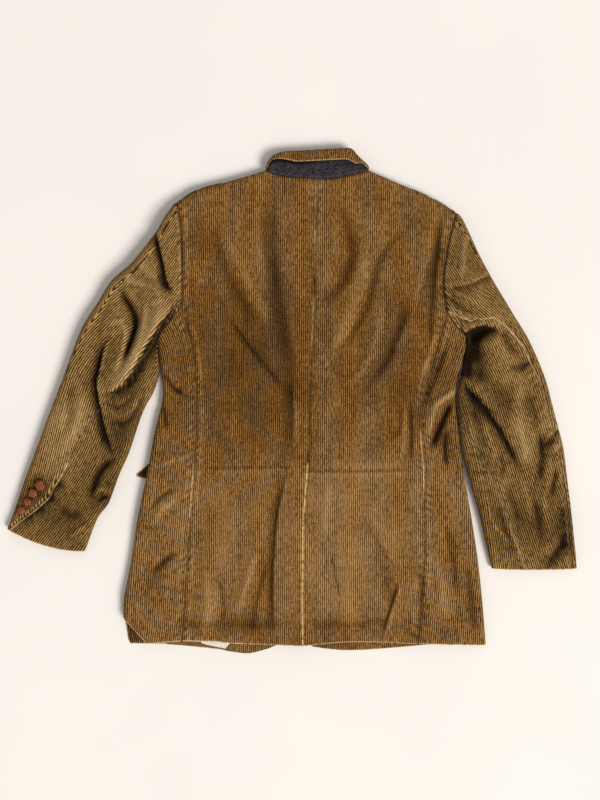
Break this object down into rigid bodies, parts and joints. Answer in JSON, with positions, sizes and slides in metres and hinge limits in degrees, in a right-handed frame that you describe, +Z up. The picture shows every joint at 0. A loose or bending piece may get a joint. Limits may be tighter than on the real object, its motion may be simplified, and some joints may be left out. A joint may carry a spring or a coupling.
{
  "type": "corduroy jacket",
  "caption": "Tailored corduroy jacket laid flat with its back up, collar turned up over a felt undercollar, centre vent and cuff buttons.",
  "frame": {"origin": "on the surface it lies on, under the middle of the laid jacket's box", "axes": "+Z up from the surface, +Y towards the collar, -X towards the wearer's left sleeve"},
  "size_m": [0.9276, 0.8241, 0.0386],
  "materials": {
    "corduroy_back": "wide-wale cotton corduroy, matt with a soft nap",
    "corduroy_side": "wide-wale cotton corduroy, matt with a soft nap",
    "corduroy_front": "wide-wale cotton corduroy, matt with a soft nap",
    "corduroy_sleeve": "wide-wale cotton corduroy, matt with a soft nap, more olive",
    "corduroy_inside": "inside of the hems and facings in the same corduroy",
    "felt": "dark undercollar felt",
    "lining": "pale lining",
    "knotted_leather": "worn, softly shining"
  },
  "bodies": {
    "root": {"back_left": "corduroy_back", "back_right": "corduroy_back", "vent_underlay": "corduroy_inside", "side_left": "corduroy_side", "side_right": "corduroy_side", "front_left": "corduroy_front", "front_right": "corduroy_front", "lapel_left": "corduroy_front", "lapel_right": "corduroy_front", "flap_left": "corduroy_front", "flap_right": "corduroy_front", "turnup_left": "corduroy_inside", "facing_left": "corduroy_inside", "lining_left": "lining", "sleeve_top_left": "corduroy_sleeve", "sleeve_under_left": "corduroy_sleeve", "sleeve_top_right": "corduroy_sleeve", "sleeve_under_right": "corduroy_sleeve", "undercollar": "felt", "top_collar": "corduroy_back", "cuff_button_left_1": "knotted_leather", "cuff_button_left_2": "knotted_leather", "cuff_button_left_3": "knotted_leather", "cuff_button_left_4": "knotted_leather", "cuff_button_right_1": "knotted_leather", "cuff_button_right_2": "knotted_leather", "cuff_button_right_3": "knotted_leather", "cuff_button_right_4": "knotted_leather", "front_button_1": "knotted_leather", "front_button_2": "knotted_leather"}
  },
  "joints": []
}
